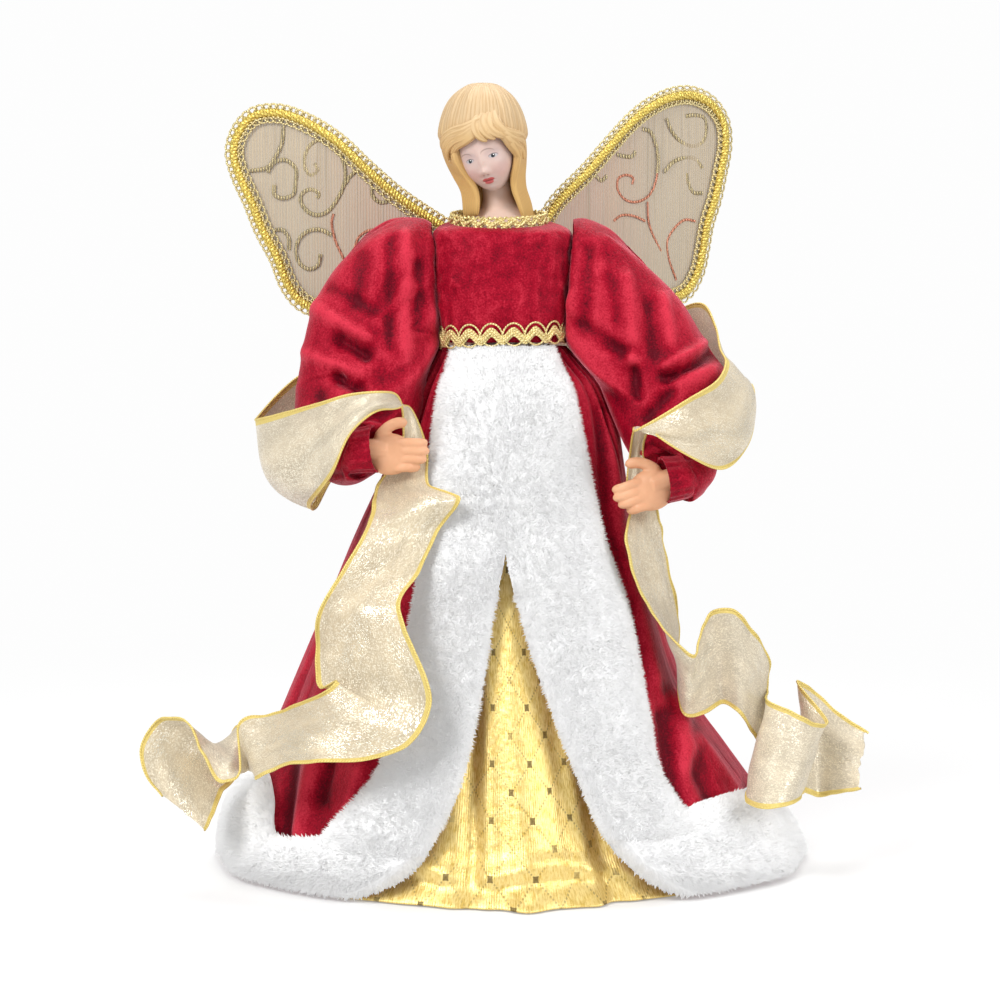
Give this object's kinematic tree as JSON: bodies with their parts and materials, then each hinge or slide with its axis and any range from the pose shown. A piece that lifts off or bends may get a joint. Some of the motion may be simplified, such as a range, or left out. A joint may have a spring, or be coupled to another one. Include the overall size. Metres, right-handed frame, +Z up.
{
  "type": "angel tree topper",
  "caption": "Cloth angel on a hollow card cone that slips over a tree's top shoot, with velvet coat, fur trim, wire framed wings and a ribbon in its hands.",
  "frame": {"origin": "centre of the cone's open base, on the plane that the base rim stands on", "axes": "+Z up through the cone to the head, -Y the way the face looks, -X the viewer's left"},
  "size_m": [0.2842, 0.1957, 0.3134],
  "materials": {
    "card": "plain rolled card",
    "foam": "bare foam",
    "skin": "painted moulding, satin",
    "velvet": "short pile with a bright edge sheen",
    "braid": "metallic gold thread",
    "brocade": "gold lame with a dark diamond lattice",
    "fur": "white plush",
    "wing": "sheer cloth with gold scrolls",
    "ribbon": "sheer metallic ribbon with stitched gold edges",
    "wire": "plain wire",
    "filling": "loose fibre filling"
  },
  "bodies": {
    "figure": {"core_cone": "card", "torso_block": "foam", "bust": "skin", "bodice": "velvet", "collar_braid": "braid", "waist_braid": "braid", "underskirt": "brocade", "coat": "velvet", "left_front_fur": "fur", "right_front_fur": "fur", "hem_fur": "fur", "wing_casing": "velvet", "ribbon_back": "ribbon"},
    "left_wing": {"left_wing_panel": "wing", "left_wing_wire": "wire", "left_wing_braid": "braid"},
    "right_wing": {"right_wing_panel": "wing", "right_wing_wire": "wire", "right_wing_braid": "braid"},
    "left_arm": {"left_arm_wire": "wire", "left_arm_filling": "filling", "left_sleeve": "velvet", "left_hand": "skin", "left_ribbon": "ribbon"},
    "right_arm": {"right_arm_wire": "wire", "right_arm_filling": "filling", "right_sleeve": "velvet", "right_hand": "skin", "right_ribbon": "ribbon"}
  },
  "joints": [
    {"name": "left_arm_swing", "type": "hinge", "parent": "figure", "child": "left_arm", "pos_m": [-0.0308, 0, 0.243], "axis": [-1, 0, 0], "range_deg": [0, 25]},
    {"name": "right_arm_swing", "type": "hinge", "parent": "figure", "child": "right_arm", "pos_m": [0.0248, 0, 0.243], "axis": [-1, 0, 0], "range_deg": [0, 25]},
    {"name": "left_wing_fold", "type": "hinge", "parent": "figure", "child": "left_wing", "pos_m": [-0.011, 0.0229, 0.2364], "axis": [0, 0, -1], "range_deg": [-4, 50]},
    {"name": "right_wing_fold", "type": "hinge", "parent": "figure", "child": "right_wing", "pos_m": [0.005, 0.0229, 0.2364], "axis": [0, 0, 1], "range_deg": [-24, 26]}
  ]
}
